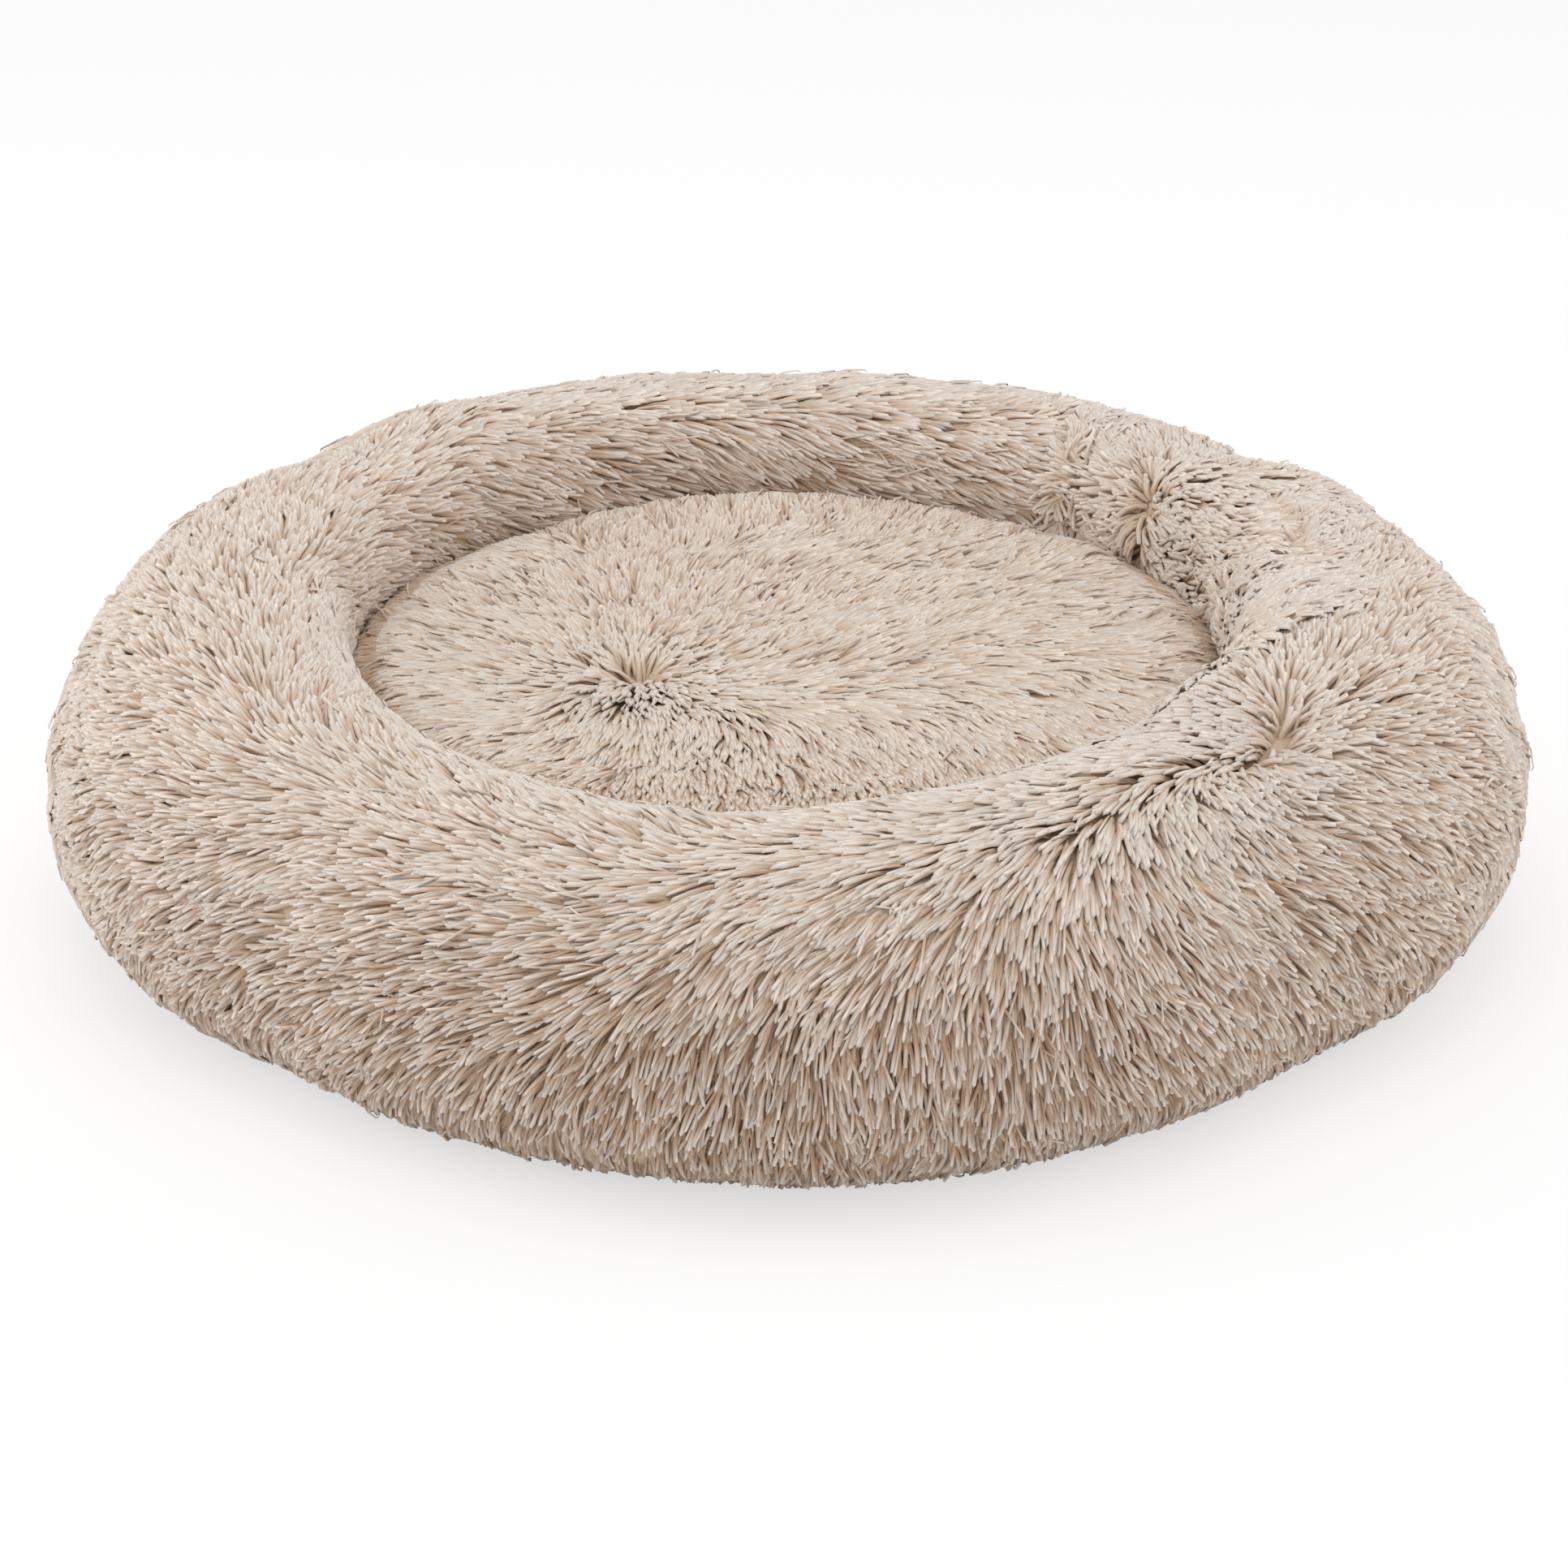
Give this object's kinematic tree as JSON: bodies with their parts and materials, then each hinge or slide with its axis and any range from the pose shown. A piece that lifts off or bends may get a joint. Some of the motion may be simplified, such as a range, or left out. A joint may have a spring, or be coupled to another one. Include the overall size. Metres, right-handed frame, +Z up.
{
  "type": "pet bed",
  "caption": "Round long-pile faux fur dog bed with a stuffed bolster ring round a domed cushion, and a zipped base cloth that lets the cover come off for washing.",
  "frame": {"origin": "middle of the bed's underside, on the floor it rests on", "axes": "+Z up, -Y towards the front of the bed as pictured, +X to its right, along the zip"},
  "size_m": [0.8136, 0.8136, 0.2022],
  "materials": {
    "faux_fur": "long soft pile, cream-beige tips over a deeper warm beige",
    "nest_faux_fur": "long soft pile, a little warmer than the ring",
    "oxford_cloth": "coated plain weave with small grip dots",
    "nonwoven_lining": "thin white nonwoven",
    "fibre_filling": "loose white polyester fibre",
    "zip_tape": "woven herringbone tape",
    "zip_coil": "satin nylon",
    "zip_metal": "nickel-plated zinc"
  },
  "bodies": {
    "bed": {"ring_fur_back": "faux_fur", "ring_fur_left": "faux_fur", "ring_fur_front": "faux_fur", "ring_fur_right": "faux_fur", "nest_fur": "nest_faux_fur", "base_cloth_front": "oxford_cloth", "base_cloth_back": "oxford_cloth", "bolster_liner": "nonwoven_lining", "bolster_filling": "fibre_filling", "cushion_liner": "nonwoven_lining", "cushion_filling": "fibre_filling", "zip_tape_front": "zip_tape", "zip_tape_back": "zip_tape", "zip_coil_front": "zip_coil", "zip_coil_back": "zip_coil", "zip_top_stop_front": "zip_metal", "zip_top_stop_back": "zip_metal", "zip_bottom_stop": "zip_metal"},
    "slider": {"zip_slider": "zip_metal"},
    "pull": {"zip_pull": "zip_metal"}
  },
  "joints": [
    {"name": "zip_travel", "type": "slide", "parent": "bed", "child": "slider", "axis": [1, 0, 0], "range_m": [0, 0.318]},
    {"name": "pull_swing", "type": "hinge", "parent": "slider", "child": "pull", "pos_m": [-0.159, 0, 0.00592], "axis": [0, 1, 0], "range_deg": [0, 170]}
  ]
}
